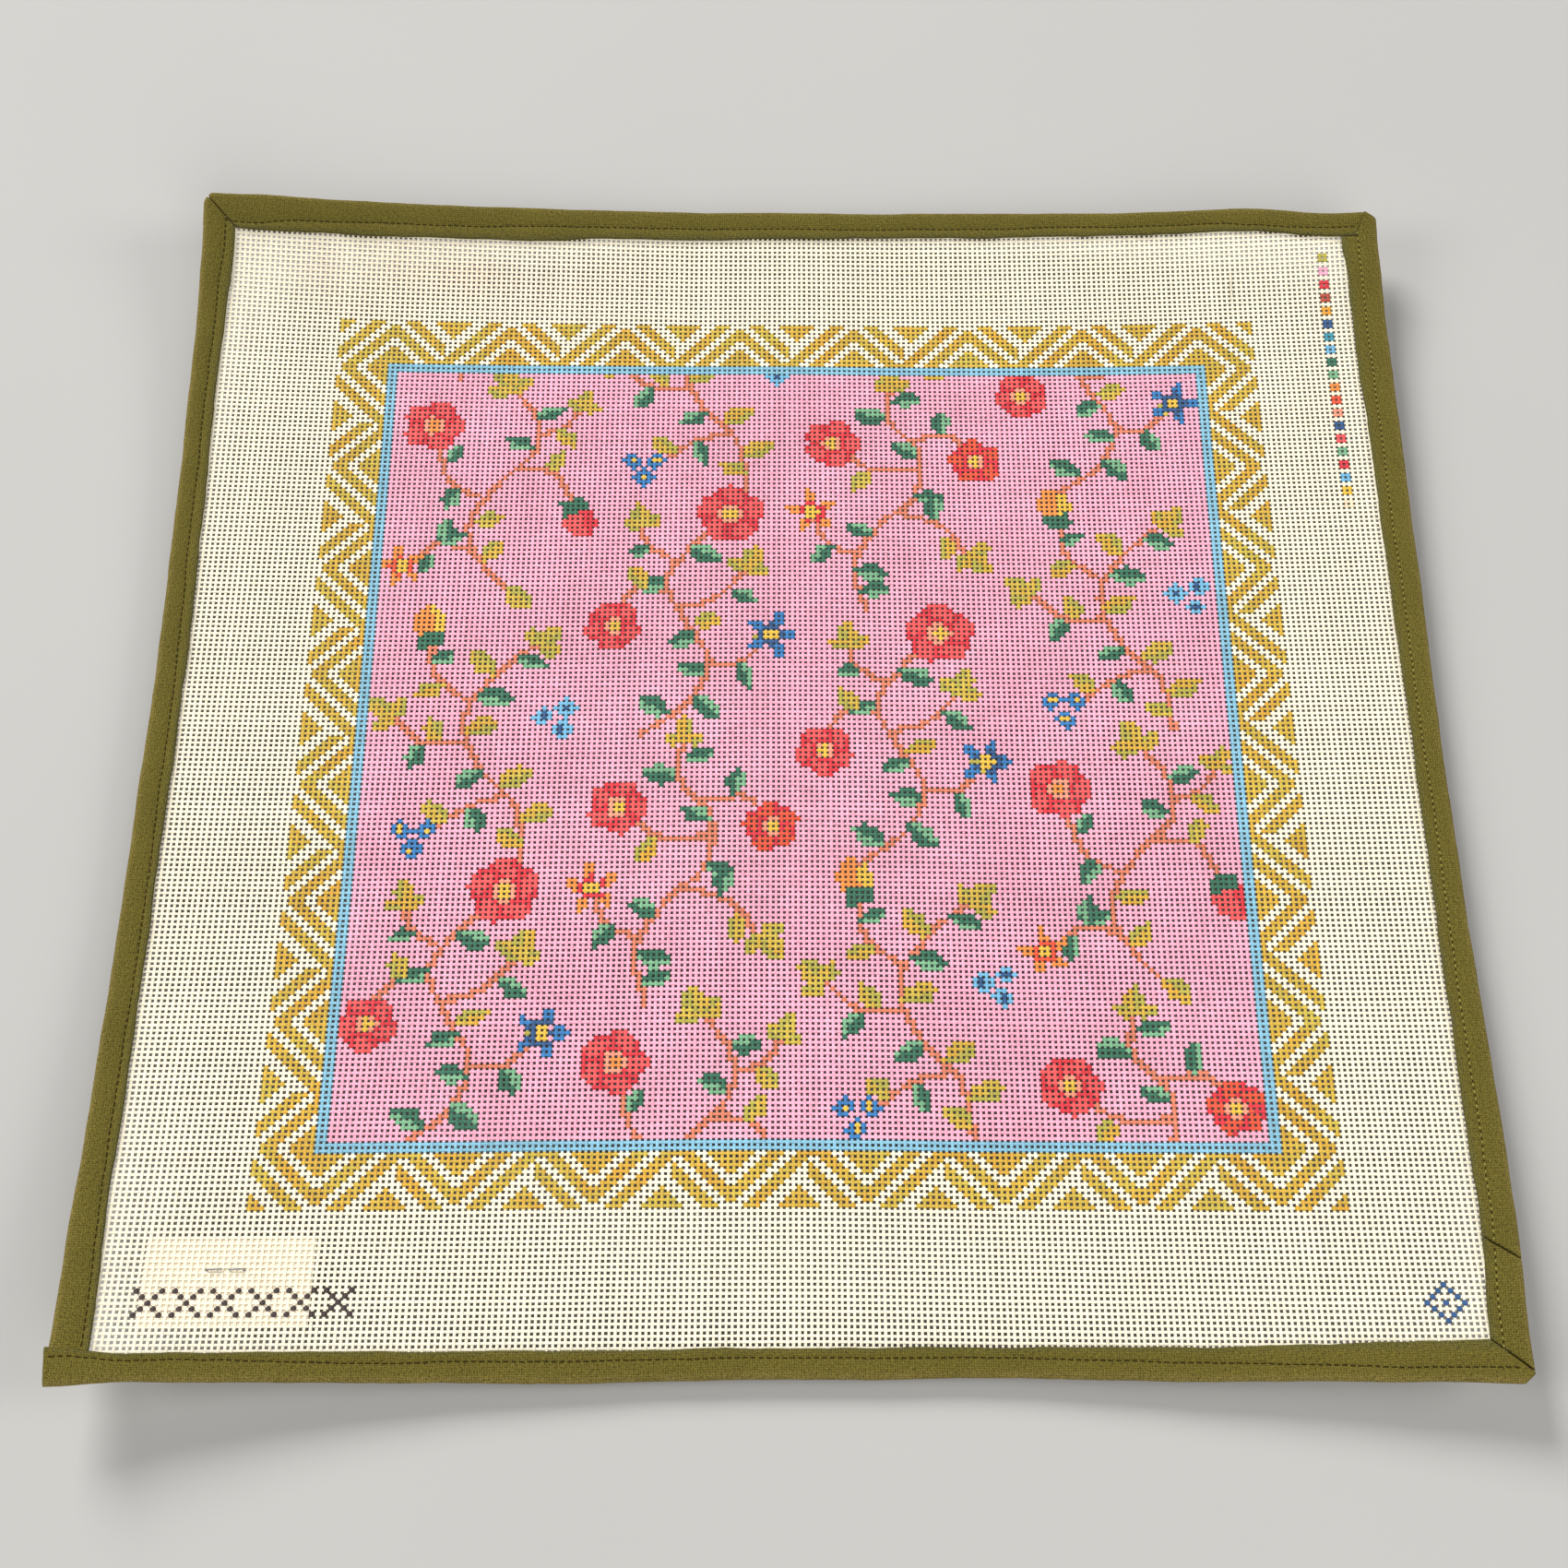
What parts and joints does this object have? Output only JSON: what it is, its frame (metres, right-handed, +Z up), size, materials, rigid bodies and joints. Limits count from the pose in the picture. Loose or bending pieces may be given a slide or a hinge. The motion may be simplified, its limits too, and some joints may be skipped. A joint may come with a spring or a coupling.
{
  "type": "needlepoint canvas panel",
  "caption": "Square painted needlepoint canvas with cotton-bound edges, lying face up with gently curled corners.",
  "frame": {"origin": "on the canvas's underside, at the middle of the panel, where it rests on a surface", "axes": "+X to the panel's right and +Y to its far edge as it is read, +Z up out of the painted face"},
  "size_m": [0.4651, 0.4697, 0.0283],
  "materials": {
    "canvas": "matte painted open weave",
    "binding": "matte cotton tape",
    "label": "matte",
    "staple": "satin"
  },
  "bodies": {
    "root": {"canvas": "canvas", "binding_left": "binding", "binding_top": "binding", "binding_right": "binding", "binding_right_end": "binding", "binding_bottom": "binding", "label": "label", "staple": "staple"}
  },
  "joints": []
}
